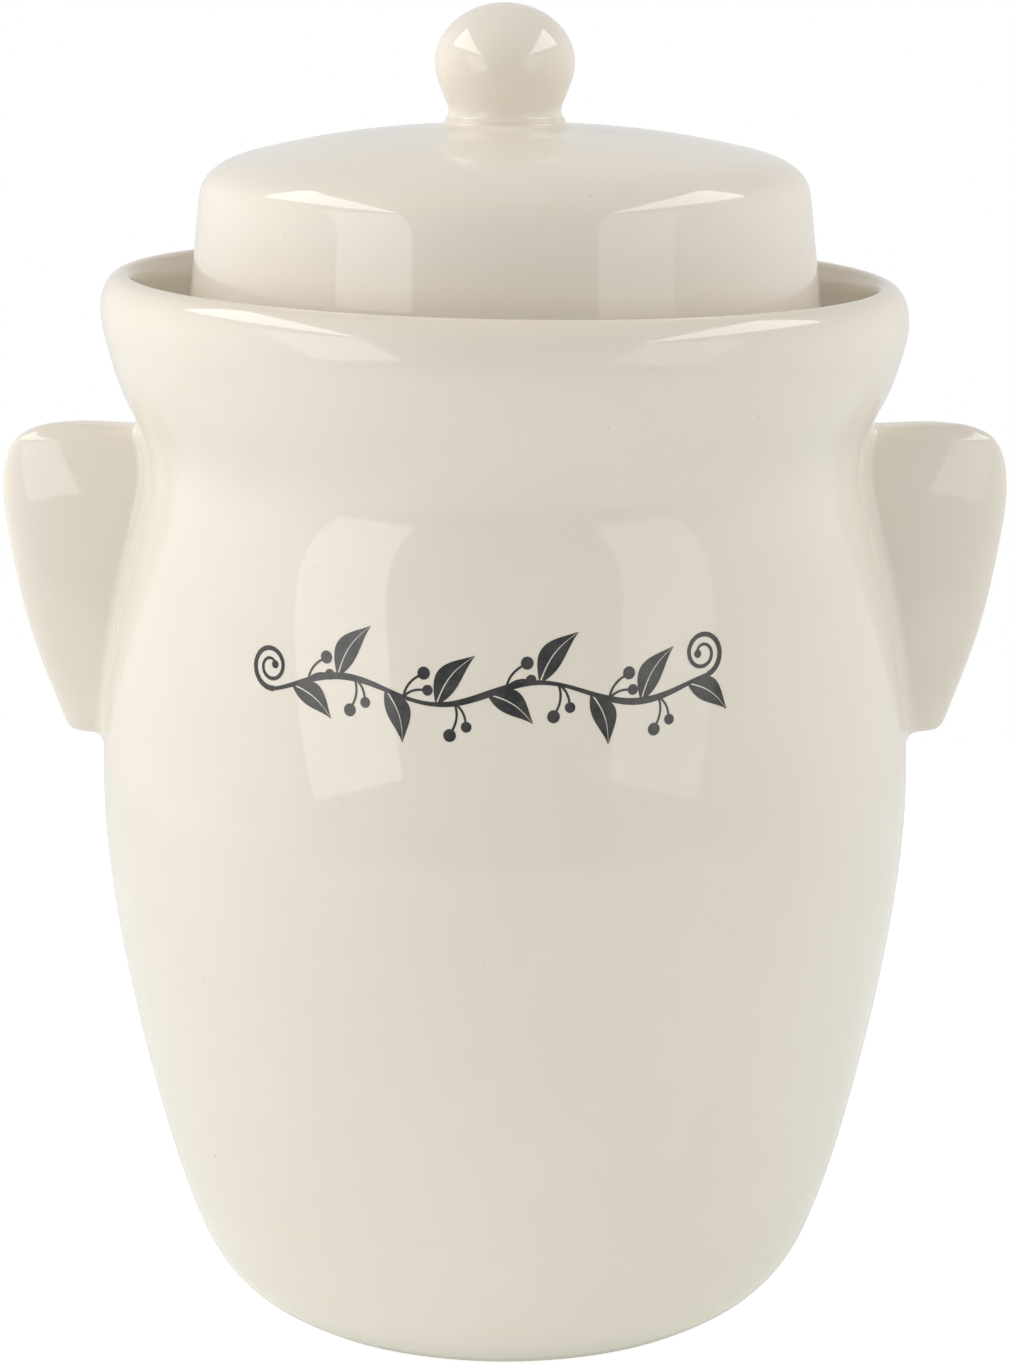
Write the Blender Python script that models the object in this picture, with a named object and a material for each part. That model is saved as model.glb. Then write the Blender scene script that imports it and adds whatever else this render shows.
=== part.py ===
"""A five-litre ceramic fermenting crock with a water-sealed lid, as the potter makes it.

The jar is turned with its flared channel wall, and a neck ring is luted inside the throat to make the
water channel. Two solid lugs are luted to the shoulder. The lid is a turned dome whose skirt stands in the
channel, with a turned knob luted on top. Two half-round stones lie on the floor inside and hold the food
under the brine.

Metres, +Z up, +X through the right lug, +Y away from the front. The origin is the middle of the foot.
"""

import math

import bmesh
import bpy
from mathutils import Matrix, Vector

MM = 0.001
FIT = 0.3 * MM  # between pieces that touch

# Jar, measured on its outside
FOOT_RADIUS = 59.5 * MM
FOOT_RING_WIDTH = 9.0 * MM
FOOT_RECESS = 2.5 * MM
BELLY_RADIUS = 104.2 * MM
BELLY_HEIGHT = 140.0 * MM
WAIST_RADIUS = 90.8 * MM
WAIST_HEIGHT = 221.5 * MM
RIM_RADIUS = 102.3 * MM
RIM_HEIGHT = 268.8 * MM
LIP_HALF_WIDTH = 4.2 * MM
LIP_RISE = 9.8 * MM
WALL = 8.0 * MM
FLOOR_HEIGHT = 9.5 * MM

# Water channel and neck ring
CHANNEL_FLOOR = 232.0 * MM
CHANNEL_UNDERSIDE = 224.3 * MM
CHANNEL_RADIUS = 85.0 * MM  # of the channel wall's inner face, at its floor
THROAT_RADIUS = 79.5 * MM  # of the ledge that carries the neck ring
MOUTH_RADIUS = 60.0 * MM
NECK_WALL = 7.0 * MM
NECK_TOP = 262.0 * MM

# Lid and knob
SKIRT_RADIUS = 82.6 * MM  # at its lower edge
SKIRT_WALL = 6.4 * MM
SHOULDER_RADIUS = 77.4 * MM
SHOULDER_HEIGHT = 286.6 * MM
CROWN_HEIGHT = 306.2 * MM
CROWN_WALL = 7.0 * MM
VENT_WIDTH = 8.0 * MM
VENT_HEIGHT = 3.5 * MM
VENT_COUNT = 4
KNOB_SEAT_RADIUS = 17.8 * MM
KNOB_NECK_RADIUS = 14.2 * MM
KNOB_RADIUS = 17.6 * MM
KNOB_MIDDLE = 321.8 * MM
KNOB_TOP = 336.8 * MM

# Lugs
LUG_BOTTOM = 150.4 * MM
LUG_TOP = 231.0 * MM
LUG_REACH = 128.5 * MM  # from the jar's axis
LUG_HALF_WIDTH = 9.4 * MM
LUG_ROOT = 86.0 * MM  # where its half-oval sections start, inside the jar's outline

# Half-round weights
WEIGHT_RADIUS = 63.0 * MM
WEIGHT_THICKNESS = 15.0 * MM
WEIGHT_SPLIT = 1.5 * MM  # gap between the two straight edges
NOTCH_RADIUS = 10.5 * MM  # of the finger hole that the two halves make

ROUND_STEPS = 60
KNOB_STEPS = 32
LUG_STEPS = 14
WEIGHT_STEPS = 24

CREAM_GLAZE = (0.83, 0.79, 0.69, 1.0)
BARE_STONEWARE = (0.70, 0.64, 0.53, 1.0)


def clear_scene():
    for obj in list(bpy.data.objects):
        bpy.data.objects.remove(obj, do_unlink=True)


def ceramic(name, colour, roughness):
    """One Principled material, which several pieces share."""
    material = bpy.data.materials.new(name)
    material.use_nodes = True
    shader = material.node_tree.nodes["Principled BSDF"]
    shader.inputs["Base Color"].default_value = colour
    shader.inputs["Roughness"].default_value = roughness
    shader.inputs["Metallic"].default_value = 0.0
    return material


def smooth_line(points, steps):
    """A Catmull-Rom curve through (radius, height) points, with this many steps between each pair."""
    ends = [points[0], *points, points[-1]]
    line = []
    for before, start, end, after in zip(ends, ends[1:], ends[2:], ends[3:]):
        for step in range(steps):
            t = step / steps
            line.append(
                tuple(
                    0.5
                    * (
                        2 * b
                        + (c - a) * t
                        + (2 * a - 5 * b + 4 * c - d) * t * t
                        + (3 * b - a - 3 * c + d) * t**3
                    )
                    for a, b, c, d in zip(before, start, end, after)
                )
            )
    line.append(tuple(points[-1]))
    return line


def arc(centre, radii, start, end, steps):
    """Points on an ellipse's arc, in degrees from the +radius direction."""
    return [
        (
            centre[0] + radii[0] * math.cos(math.radians(start + (end - start) * i / steps)),
            centre[1] + radii[1] * math.sin(math.radians(start + (end - start) * i / steps)),
        )
        for i in range(steps + 1)
    ]


def add_object(name, mesh_builder, material=None):
    """Turns a bmesh into a named object with its faces pointing out."""
    bmesh.ops.recalc_face_normals(mesh_builder, faces=mesh_builder.faces)
    mesh = bpy.data.meshes.new(name)
    mesh_builder.to_mesh(mesh)
    mesh_builder.free()
    mesh.shade_smooth()
    mesh.set_sharp_from_angle(angle=math.radians(40))
    obj = bpy.data.objects.new(name, mesh)
    bpy.context.scene.collection.objects.link(obj)
    if material:
        mesh.materials.append(material)
    return obj


def turned(profile, steps):
    """Spins a (radius, height) profile round +Z. A profile that doesn't meet the axis is closed on itself."""
    builder = bmesh.new()
    verts = [builder.verts.new((radius, 0.0, height)) for radius, height in profile]
    edges = [builder.edges.new(pair) for pair in zip(verts, verts[1:])]
    if profile[0][0] > 0:
        edges.append(builder.edges.new((verts[-1], verts[0])))
    bmesh.ops.spin(
        builder,
        geom=verts + edges,
        cent=(0, 0, 0),
        axis=(0, 0, 1),
        angle=math.tau,
        steps=steps,
        use_merge=True,
    )
    bmesh.ops.remove_doubles(builder, verts=builder.verts, dist=0.01 * MM)
    return builder


def cut(obj, cutter):
    """Takes the cutter's shape out of obj, and keeps the cutter out of the model."""
    modifier = obj.modifiers.new("cut_" + cutter.name, "BOOLEAN")
    modifier.operation = "DIFFERENCE"
    modifier.solver = "EXACT"
    modifier.object = cutter
    cutter.hide_render = True
    cutter.display_type = "WIRE"


def jar_outside(steps=2):
    """The jar's outer outline from the foot to the top of its flared channel wall."""
    return smooth_line(
        [
            (FOOT_RADIUS, 0.0),
            (67.3 * MM, 3.6 * MM),
            (76.0 * MM, 12.0 * MM),
            (82.3 * MM, 24.5 * MM),
            (91.0 * MM, 53.0 * MM),
            (99.6 * MM, 92.0 * MM),
            (BELLY_RADIUS, BELLY_HEIGHT),
            (100.9 * MM, 175.0 * MM),
            (94.4 * MM, 203.0 * MM),
            (WAIST_RADIUS, WAIST_HEIGHT),
            (93.0 * MM, 231.0 * MM),
            (97.0 * MM, 239.4 * MM),
            (101.0 * MM, 251.5 * MM),
            (RIM_RADIUS, RIM_HEIGHT - LIP_RISE),
        ],
        steps,
    )


def jar_inside(steps=1):
    """The jar's inner outline, down from the ledge under the neck ring to the floor."""
    return smooth_line(
        [
            (THROAT_RADIUS, 216.5 * MM),
            (86.0 * MM, 204.0 * MM),
            (92.8 * MM, 175.0 * MM),
            (BELLY_RADIUS - WALL, BELLY_HEIGHT),
            (91.4 * MM, 92.0 * MM),
            (82.6 * MM, 53.0 * MM),
            (72.6 * MM, 24.5 * MM),
            (66.5 * MM, 14.6 * MM),
            (57.5 * MM, FLOOR_HEIGHT),
        ],
        steps,
    )


def make_jar(glaze):
    lip_centre = (RIM_RADIUS - LIP_HALF_WIDTH, RIM_HEIGHT - LIP_RISE)
    profile = [
        (0.0, FOOT_RECESS),
        (FOOT_RADIUS - FOOT_RING_WIDTH - 2 * MM, FOOT_RECESS),
        (FOOT_RADIUS - FOOT_RING_WIDTH, 0.0),
        *jar_outside(),
        *arc(lip_centre, (LIP_HALF_WIDTH, LIP_RISE), 0, 180, 10)[1:],
        (90.8 * MM, 248.0 * MM),
        (CHANNEL_RADIUS + 2.4 * MM, 237.0 * MM),
        (CHANNEL_RADIUS, CHANNEL_FLOOR - 2 * MM),
        (CHANNEL_RADIUS, CHANNEL_UNDERSIDE - FIT),
        (THROAT_RADIUS, CHANNEL_UNDERSIDE - FIT),
        *jar_inside(),
        (0.0, FLOOR_HEIGHT),
    ]
    return add_object("crock_body", turned(profile, ROUND_STEPS), glaze)


def make_neck_ring(glaze):
    """The channel's floor and inner wall, which stands up inside the lid."""
    neck_radius = MOUTH_RADIUS + NECK_WALL
    profile = [
        (MOUTH_RADIUS + 1.5 * MM, CHANNEL_UNDERSIDE),
        (CHANNEL_RADIUS - FIT, CHANNEL_UNDERSIDE),
        (CHANNEL_RADIUS - FIT, CHANNEL_FLOOR),
        (neck_radius + 2.5 * MM, CHANNEL_FLOOR),
        (neck_radius, CHANNEL_FLOOR + 3 * MM),
        *arc((neck_radius - NECK_WALL / 2, NECK_TOP - 3.5 * MM), (NECK_WALL / 2, 3.5 * MM), 0, 180, 6),
        (MOUTH_RADIUS, CHANNEL_UNDERSIDE + 1.5 * MM),
    ]
    return add_object("neck_ring", turned(profile, ROUND_STEPS), glaze)


def lid_outside(steps=2):
    """The lid's outer outline, from the edge of the knob's seat down to the skirt's lower edge."""
    return smooth_line(
        [
            (KNOB_SEAT_RADIUS, CROWN_HEIGHT),
            (44.0 * MM, 303.7 * MM),
            (62.0 * MM, 300.2 * MM),
            (71.9 * MM, 296.7 * MM),
            (76.1 * MM, 292.5 * MM),
            (SHOULDER_RADIUS, SHOULDER_HEIGHT),
            (79.2 * MM, 269.7 * MM),
            (81.0 * MM, 251.5 * MM),
            (SKIRT_RADIUS, CHANNEL_FLOOR + FIT + 2 * MM),
        ],
        steps,
    )


def make_lid(glaze):
    skirt_foot = CHANNEL_FLOOR + FIT
    inner_foot = SKIRT_RADIUS - SKIRT_WALL
    profile = [
        (0.0, CROWN_HEIGHT),
        *lid_outside(),
        (SKIRT_RADIUS - 1.5 * MM, skirt_foot),
        (inner_foot + 1.5 * MM, skirt_foot),
        *smooth_line(
            [
                (inner_foot, skirt_foot + 2 * MM),
                (73.0 * MM, 269.7 * MM),
                (70.6 * MM, 285.0 * MM),
                (64.0 * MM, 291.6 * MM),
                (44.0 * MM, 296.4 * MM),
                (0.0, CROWN_HEIGHT - CROWN_WALL),
            ],
            2,
        ),
    ]
    lid = add_object("lid_dome", turned(profile, ROUND_STEPS), glaze)
    for index in range(VENT_COUNT // 2):
        cut(lid, make_vent_cutter(index))
    return lid


def make_vent_cutter(index):
    """A low arch that passes under both sides of the skirt, where the gas bubbles out."""
    outline = arc((0.0, 0.0), (VENT_WIDTH / 2, VENT_HEIGHT), 0, 180, 10)
    below = -2 * MM
    outline = [(VENT_WIDTH / 2, below), *outline, (-VENT_WIDTH / 2, below)]
    builder = bmesh.new()
    length = SKIRT_RADIUS + 5 * MM
    near = [builder.verts.new((-length, across, up)) for across, up in outline]
    far = [builder.verts.new((length, across, up)) for across, up in outline]
    builder.faces.new(near)
    builder.faces.new(far)
    for i in range(len(outline)):
        j = (i + 1) % len(outline)
        builder.faces.new((near[i], near[j], far[j], far[i]))
    turn = Matrix.Rotation(math.radians(45 + 360 / VENT_COUNT * index), 4, "Z")
    lift = Matrix.Translation(Vector((0, 0, CHANNEL_FLOOR + FIT)))
    bmesh.ops.transform(builder, matrix=lift @ turn, verts=builder.verts)
    return add_object(f"vent_cutter_{index}", builder)


def make_knob(glaze):
    seat = CROWN_HEIGHT + FIT
    profile = [
        (0.0, seat),
        *smooth_line(
            [
                (KNOB_SEAT_RADIUS - 0.4 * MM, seat),
                (15.2 * MM, 307.9 * MM),
                (KNOB_NECK_RADIUS, 310.2 * MM),
                (15.0 * MM, 313.1 * MM),
                (16.9 * MM, 317.4 * MM),
                (KNOB_RADIUS, KNOB_MIDDLE),
            ],
            2,
        ),
        *arc((0.0, KNOB_MIDDLE), (KNOB_RADIUS, KNOB_TOP - KNOB_MIDDLE), 0, 90, 9)[1:-1],
        (0.0, KNOB_TOP),
    ]
    return add_object("lid_knob", turned(profile, KNOB_STEPS), glaze)


def lug_sections():
    """(height, reach, half width) up the lug. Reach is from the jar's axis to its outer edge."""
    levels = [
        (LUG_BOTTOM, 111.6 * MM, 5.6 * MM),
        (151.8 * MM, 113.6 * MM, 6.4 * MM),
        (158.0 * MM, 116.0 * MM, 6.9 * MM),
        (168.5 * MM, 119.9 * MM, 7.5 * MM),
        (184.0 * MM, 124.1 * MM, 8.4 * MM),
        (200.0 * MM, 127.2 * MM, 9.2 * MM),
        (212.0 * MM, LUG_REACH, LUG_HALF_WIDTH),
        (219.5 * MM, 128.4 * MM, 9.3 * MM),
        (225.5 * MM, 126.8 * MM, 8.8 * MM),
        (229.4 * MM, 122.6 * MM, 7.8 * MM),
        (LUG_TOP, 113.0 * MM, 6.2 * MM),
    ]
    return smooth_line(levels, 2)


def lug_section(builder, height, reach, half_width):
    """One half oval, closed across the jar's inside by the first and last points."""
    outline = arc((LUG_ROOT, 0.0), (reach - LUG_ROOT, half_width), -90, 90, LUG_STEPS)
    return [builder.verts.new((along, across, height)) for along, across in outline]


def make_lug_blank(name, side, glaze):
    """The lug before its back is cut to the jar. Side is +1 for the right lug and -1 for the left."""
    builder = bmesh.new()
    rings = [lug_section(builder, *level) for level in lug_sections()]
    for lower, upper in zip(rings, rings[1:]):
        for i in range(len(lower)):
            j = (i + 1) % len(lower)
            builder.faces.new((lower[i], lower[j], upper[j], upper[i]))
    builder.faces.new(rings[0])
    builder.faces.new(rings[-1])
    if side < 0:
        half_turn = Matrix.Rotation(math.pi, 4, "Z")
        bmesh.ops.transform(builder, matrix=half_turn, verts=builder.verts)
    return add_object(name, builder, glaze)


def make_jar_cutter():
    """The jar's outline a fit's width larger, which shapes the backs of the lugs."""
    outline = [(radius + FIT, height) for radius, height in jar_outside()]
    profile = [(0.0, -5 * MM), (FOOT_RADIUS, -5 * MM), *outline, (0.0, RIM_HEIGHT)]
    return add_object("jar_cutter", turned(profile, ROUND_STEPS))


def make_lugs(glaze):
    cutter = make_jar_cutter()
    for name, side in (("handle_right", 1), ("handle_left", -1)):
        cut(make_lug_blank(name, side, glaze), cutter)


def weight_profile():
    """A stone's edge, from its underside to its top face."""
    bottom = FLOOR_HEIGHT + FIT
    top = bottom + WEIGHT_THICKNESS
    return [
        (0.0, bottom),
        (WEIGHT_RADIUS - 7 * MM, bottom),
        (WEIGHT_RADIUS - 2.6 * MM, bottom + 2.2 * MM),
        (WEIGHT_RADIUS, bottom + 6.5 * MM),
        (WEIGHT_RADIUS, top - 2.5 * MM),
        (WEIGHT_RADIUS - 0.8 * MM, top - 0.8 * MM),
        (WEIGHT_RADIUS - 2.5 * MM, top),
        (0.0, top),
    ]


def half_plan(radius, side):
    """A half disc's outline with its finger notch, at this edge radius. Side is +1 for the half at +Y."""
    gap = WEIGHT_SPLIT / 2
    start = math.asin(gap / radius)
    notch_start = math.asin(gap / NOTCH_RADIUS)
    outer = [start + (math.pi - 2 * start) * i / WEIGHT_STEPS for i in range(WEIGHT_STEPS + 1)]
    notch_steps = 10
    inner = [
        math.pi - notch_start - (math.pi - 2 * notch_start) * i / notch_steps
        for i in range(notch_steps + 1)
    ]
    plan = [(radius * math.cos(a), radius * math.sin(a)) for a in outer]
    plan += [(NOTCH_RADIUS * math.cos(a), NOTCH_RADIUS * math.sin(a)) for a in inner]
    return [(x * side, y * side) for x, y in plan]


def make_weight(name, side, stoneware):
    """Stacks the half disc's outline at each height of the stone's edge."""
    builder = bmesh.new()
    rings = []
    for radius, height in weight_profile()[1:-1]:
        plan = half_plan(radius, side)
        rings.append([builder.verts.new((x, y, height)) for x, y in plan])
    for lower, upper in zip(rings, rings[1:]):
        for i in range(len(lower)):
            j = (i + 1) % len(lower)
            builder.faces.new((lower[i], lower[j], upper[j], upper[i]))
    builder.faces.new(rings[0])
    builder.faces.new(rings[-1])
    return add_object(name, builder, stoneware)


def main():
    clear_scene()
    glaze = ceramic("cream_glaze", CREAM_GLAZE, 0.12)
    stoneware = ceramic("bare_stoneware", BARE_STONEWARE, 0.75)
    make_jar(glaze)
    make_neck_ring(glaze)
    make_lugs(glaze)
    make_lid(glaze)
    make_knob(glaze)
    make_weight("weight_back", 1, stoneware)
    make_weight("weight_front", -1, stoneware)


main()
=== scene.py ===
# %% [markdown]
# # A lidded fermenting crock in cream glaze
# The real pot is stoneware: a turned jar with a flared channel at its rim, two solid lugs, a domed lid that
# stands in the channel, and two half-round stones inside. This lesson gives each piece its fine surface and
# its glaze. The engineering model is already packed, so the first cell loads it as a fixed frame. Its box
# is kept, to be printed at the end beside the box of the fine pieces.

# %% Load the frame
import math

import bmesh
import bpy
import numpy as np
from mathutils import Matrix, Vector


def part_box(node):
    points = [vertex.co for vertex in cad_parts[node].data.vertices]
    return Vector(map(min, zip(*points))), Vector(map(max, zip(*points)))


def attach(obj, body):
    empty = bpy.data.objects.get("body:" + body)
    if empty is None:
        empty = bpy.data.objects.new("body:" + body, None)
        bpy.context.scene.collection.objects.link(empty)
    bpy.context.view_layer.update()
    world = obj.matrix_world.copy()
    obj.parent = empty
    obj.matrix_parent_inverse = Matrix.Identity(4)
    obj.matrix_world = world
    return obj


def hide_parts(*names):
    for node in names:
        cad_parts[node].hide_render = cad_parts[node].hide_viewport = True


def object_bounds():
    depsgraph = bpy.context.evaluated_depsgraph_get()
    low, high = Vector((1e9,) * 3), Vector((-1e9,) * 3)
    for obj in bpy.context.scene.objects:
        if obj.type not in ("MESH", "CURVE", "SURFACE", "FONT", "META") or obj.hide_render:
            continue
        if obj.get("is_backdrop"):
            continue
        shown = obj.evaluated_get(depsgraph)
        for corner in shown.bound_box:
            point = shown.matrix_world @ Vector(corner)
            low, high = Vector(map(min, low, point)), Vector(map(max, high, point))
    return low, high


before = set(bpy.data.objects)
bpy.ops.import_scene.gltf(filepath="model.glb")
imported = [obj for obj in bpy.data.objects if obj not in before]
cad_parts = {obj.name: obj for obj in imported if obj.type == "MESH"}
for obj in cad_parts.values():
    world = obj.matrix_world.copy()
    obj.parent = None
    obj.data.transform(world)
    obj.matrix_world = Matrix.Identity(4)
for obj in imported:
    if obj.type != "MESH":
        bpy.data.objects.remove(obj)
cad_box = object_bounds()
MM = 0.001
print("nodes:", sorted(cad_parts))

# %% [markdown]
# ## The camera
# A long lens from about a metre away keeps the pot's sides nearly parallel, and looking down by twelve
# degrees shows a little of the lid's crown and of the channel. The camera comes first, so that every later
# step can be judged in the same view.

# %% Place the camera
CAMERA_DISTANCE = 961 * MM
CAMERA_HEIGHT = 370 * MM
CAMERA_PITCH = math.radians(12.15)
camera_data = bpy.data.cameras.new("portrait_lens")
camera_data.lens = 100
camera_data.sensor_width = 36
camera_data.dof.use_dof = False
camera = bpy.data.objects.new("camera", camera_data)
camera.location = (0, -CAMERA_DISTANCE, CAMERA_HEIGHT)
camera.rotation_euler = (math.radians(90) - CAMERA_PITCH, 0, 0)
bpy.context.scene.collection.objects.link(camera)
bpy.context.scene.camera = camera
print("camera at", [round(v, 3) for v in camera.location])

# %% [markdown]
# ## Sizes from the frame
# Each piece's main sizes are read from the engineering model's own boxes, so the fine meshes can't drift
# from it. `low` and `high` are the lowest and highest corners of a node.

# %% Read the sizes
def low(node):
    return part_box(node)[0]


def high(node):
    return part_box(node)[1]


belly_radius = high("crock_body").y
rim_height = high("crock_body").z
neck_top = high("neck_ring").z
channel_underside = low("neck_ring").z
skirt_foot = low("lid_dome").z
crown_height = high("lid_dome").z
skirt_radius = high("lid_dome").y
knob_seat = low("lid_knob").z
knob_top = high("lid_knob").z
knob_radius = high("lid_knob").x
stone_radius = high("weight_back").y
stone_bottom = low("weight_back").z
stone_top = high("weight_back").z
print("belly", round(belly_radius / MM, 1), "mm in radius, rim", round(rim_height / MM, 1), "mm high")

# %% [markdown]
# ## Smooth outlines
# A turned pot is one outline spun round an axis. Glaze is a mirror, and a mirror shows every kink, so an
# outline of straight bits or simple arcs would show as bands across the reflections. A natural cubic spline
# through a few points has a continuous curvature, which is what a potter's rib leaves. It is solved here
# with numpy.

# %% Draw a spline through a few points
def spline(points, spacing=1.5 * MM):
    """Points about this far apart on a natural cubic spline through (radius, height) points."""
    knots = np.array(points, float)
    chord = np.hypot(*np.diff(knots, axis=0).T)
    place = np.concatenate([[0], np.cumsum(chord)])
    count = len(knots)
    system = np.eye(count)
    target = np.zeros((count, 2))
    for i in range(1, count - 1):
        before, after = chord[i - 1], chord[i]
        system[i, i - 1 : i + 2] = before, 2 * (before + after), after
        target[i] = 6 * ((knots[i + 1] - knots[i]) / after - (knots[i] - knots[i - 1]) / before)
    bend = np.linalg.solve(system, target)
    line = []
    for i in range(count - 1):
        steps = max(2, round(chord[i] / spacing))
        for step in range(steps):
            t = step / steps * chord[i]
            rest = chord[i] - t
            line.append(
                (bend[i] * rest**3 + bend[i + 1] * t**3) / (6 * chord[i])
                + (knots[i] / chord[i] - bend[i] * chord[i] / 6) * rest
                + (knots[i + 1] / chord[i] - bend[i + 1] * chord[i] / 6) * t
            )
    line.append(knots[-1])
    return [tuple(float(v) for v in point) for point in line]


def rounded(corner, before, after, radius, steps=6):
    """A rounded corner, as a quadratic curve that starts and ends this far from the corner."""
    corner, before, after = (np.array(p, float) for p in (corner, before, after))
    start = corner + (before - corner) / np.linalg.norm(before - corner) * radius
    end = corner + (after - corner) / np.linalg.norm(after - corner) * radius
    curve = []
    for step in range(steps + 1):
        t = step / steps
        curve.append(tuple(float(v) for v in start * (1 - t) ** 2 + corner * 2 * t * (1 - t) + end * t * t))
    return curve


print("a spline through three points has", len(spline([(0, 0), (0.01, 0.01), (0.02, 0)])), "points")

# %% [markdown]
# ## Spinning an outline
# `turned` spins an outline round the pot's axis. Blender's Spin tool or a Screw modifier could do it, but
# here each outline point also carries how thin the glaze lies there: glaze draws back from sharp edges as
# it melts. That number comes from how tightly the outline bends outwards, and the glaze reads it later from
# a mesh attribute.

# %% Spin an outline into a mesh
ROUND_STEPS = 256


def thinness(outline):
    """0 where the outline is flat or hollow, and up to 1 where it bends outwards over about 2 mm."""
    line = np.array(outline)
    ahead = np.roll(line, -1, axis=0) - line
    behind = line - np.roll(line, 1, axis=0)
    turn = np.cross(behind, ahead)
    span = np.hypot(*ahead.T) * np.hypot(*behind.T) * (np.hypot(*ahead.T) + np.hypot(*behind.T)) / 2 + 1e-15
    bend = np.clip(turn / span * 2 * MM, 0, 1)
    bend[[0, -1]] = 0
    for _ in range(2):
        bend = (np.roll(bend, 1) + 2 * bend + np.roll(bend, -1)) / 4
    return bend


def new_piece(name, verts, faces, thin=None, bare=None):
    """A smooth-shaded mesh object. `thin` and `bare` are the glaze's thinness and absence at each vertex."""
    mesh = bpy.data.meshes.new(name)
    mesh.from_pydata([tuple(v) for v in verts], [], faces)
    builder = bmesh.new()
    builder.from_mesh(mesh)
    bmesh.ops.recalc_face_normals(builder, faces=builder.faces)
    builder.to_mesh(mesh)
    builder.free()
    mesh.shade_smooth()
    for label, values in (("glaze_thin", thin), ("glaze_bare", bare)):
        attribute = mesh.attributes.new(label, "FLOAT", "POINT")
        if values is not None:
            attribute.data.foreach_set("value", np.asarray(values, np.float32))
    piece = bpy.data.objects.new(name, mesh)
    bpy.context.scene.collection.objects.link(piece)
    return piece


def turned(name, outline, angles=None, bare_below=None):
    """Spins (radius, height) points, which run up the outside and down the inside.

    An end on the axis is a pole. Points lower than bare_below were wiped clean of glaze before the firing.
    """
    if angles is None:
        angles = np.linspace(0, math.tau, ROUND_STEPS, endpoint=False)
    thin_line = thinness(outline)
    verts, faces, thin, rings = [], [], [], []
    for (radius, height), value in zip(outline, thin_line):
        if radius < 1e-6:
            rings.append([len(verts)])
            verts.append((0, 0, height))
            thin.append(0)
            continue
        rings.append(list(range(len(verts), len(verts) + len(angles))))
        verts += [(radius * math.cos(a), radius * math.sin(a), height) for a in angles]
        thin += [value] * len(angles)
    pairs = list(zip(rings, rings[1:]))
    if len(rings[0]) > 1:
        pairs.append((rings[-1], rings[0]))
    for lower, upper in pairs:
        for i in range(len(angles)):
            j = (i + 1) % len(angles)
            below = [lower[i % len(lower)], lower[j % len(lower)]]
            above = [upper[j % len(upper)], upper[i % len(upper)]]
            faces.append(list(dict.fromkeys(below + above)))
    wiped = None if bare_below is None else [float(vert[2] < bare_below) for vert in verts]
    return new_piece(name, verts, faces, thin, wiped)


print("spins use", ROUND_STEPS, "steps")

# %% [markdown]
# ## The jar
# The jar is the largest turned piece: a rounded foot, a full belly, a waist, and the flared wall of the
# water channel with a thick rolled lip. The same points shape the engineering model, but the spline is
# finer. The rim of the real pot warped a little as it dried, so it tips by under two millimetres to one
# side.

# %% Draw the jar's outline
WALL = 8 * MM
CHANNEL_FLOOR = channel_underside + 7.7 * MM
THROAT_RADIUS = 79.5 * MM
RIM_RADIUS = 102.3 * MM
FLOOR_HEIGHT = 9.5 * MM


def jar_wall():
    """The outside, from the foot up to the lip."""
    return [
        (63.2 * MM, 1.2 * MM),
        (69.2 * MM, 4.9 * MM),
        (76.2 * MM, 12.2 * MM),
        (82.3 * MM, 24.5 * MM),
        (91.0 * MM, 53.0 * MM),
        (99.4 * MM, 92.0 * MM),
        (belly_radius, 140 * MM),
        (100.9 * MM, 175 * MM),
        (94.3 * MM, 203 * MM),
        (90.9 * MM, 221.0 * MM),
        (93.0 * MM, 231.0 * MM),
        (97.0 * MM, 239.4 * MM),
        (101.0 * MM, 251.5 * MM),
    ]


def jar_outline():
    foot = [
        (0, 2.5 * MM),
        (46 * MM, 2.5 * MM),
        *rounded((48 * MM, 2.5 * MM), (40 * MM, 2.5 * MM), (50 * MM, 0), 1 * MM, 3),
        *rounded((50.2 * MM, 0), (48 * MM, 2.5 * MM), (58 * MM, 0), 0.6 * MM, 3),
        *rounded((60.3 * MM, 0), (52 * MM, 0), (63.2 * MM, 1.2 * MM), 1 * MM, 4),
    ]
    lip = [
        (RIM_RADIUS, rim_height - 9.8 * MM),
        (101.7 * MM, rim_height - 4.9 * MM),
        (99.8 * MM, rim_height - 1.6 * MM),
        (97.2 * MM, rim_height - 0.1 * MM),
        (95.0 * MM, rim_height - 0.7 * MM),
        (94.0 * MM, rim_height - 2.6 * MM),
    ]
    channel = [
        (93.2 * MM, rim_height - 8 * MM),
        (90.4 * MM, 248 * MM),
        (87.0 * MM, 238 * MM),
        (85.3 * MM, CHANNEL_FLOOR + 1.6 * MM),
        (83.6 * MM, CHANNEL_FLOOR + 0.1 * MM),
    ]
    throat = [
        (83.4 * MM, channel_underside + 1 * MM),
        (83.4 * MM, channel_underside - 0.3 * MM),
        (THROAT_RADIUS, channel_underside - 0.3 * MM),
    ]
    inside = [
        (THROAT_RADIUS, 216.5 * MM),
        (86.0 * MM, 204 * MM),
        (92.8 * MM, 175 * MM),
        (belly_radius - WALL, 140 * MM),
        (91.4 * MM, 92 * MM),
        (82.6 * MM, 53 * MM),
        (72.6 * MM, 24.5 * MM),
        (66.5 * MM, 14.6 * MM),
        (57.5 * MM, FLOOR_HEIGHT),
    ]
    return [*foot, *spline(jar_wall() + lip + channel), *throat, *spline(inside, 4 * MM), (0, FLOOR_HEIGHT)]


def tip_rim(piece):
    """Lowers the rim at the right and raises it at the left, fading out down to the waist."""
    for vert in piece.data.vertices:
        rise = min(max((vert.co.z - 226 * MM) / (36 * MM), 0), 1)
        vert.co.z -= 0.018 * vert.co.x * rise * rise * (3 - 2 * rise)


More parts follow.
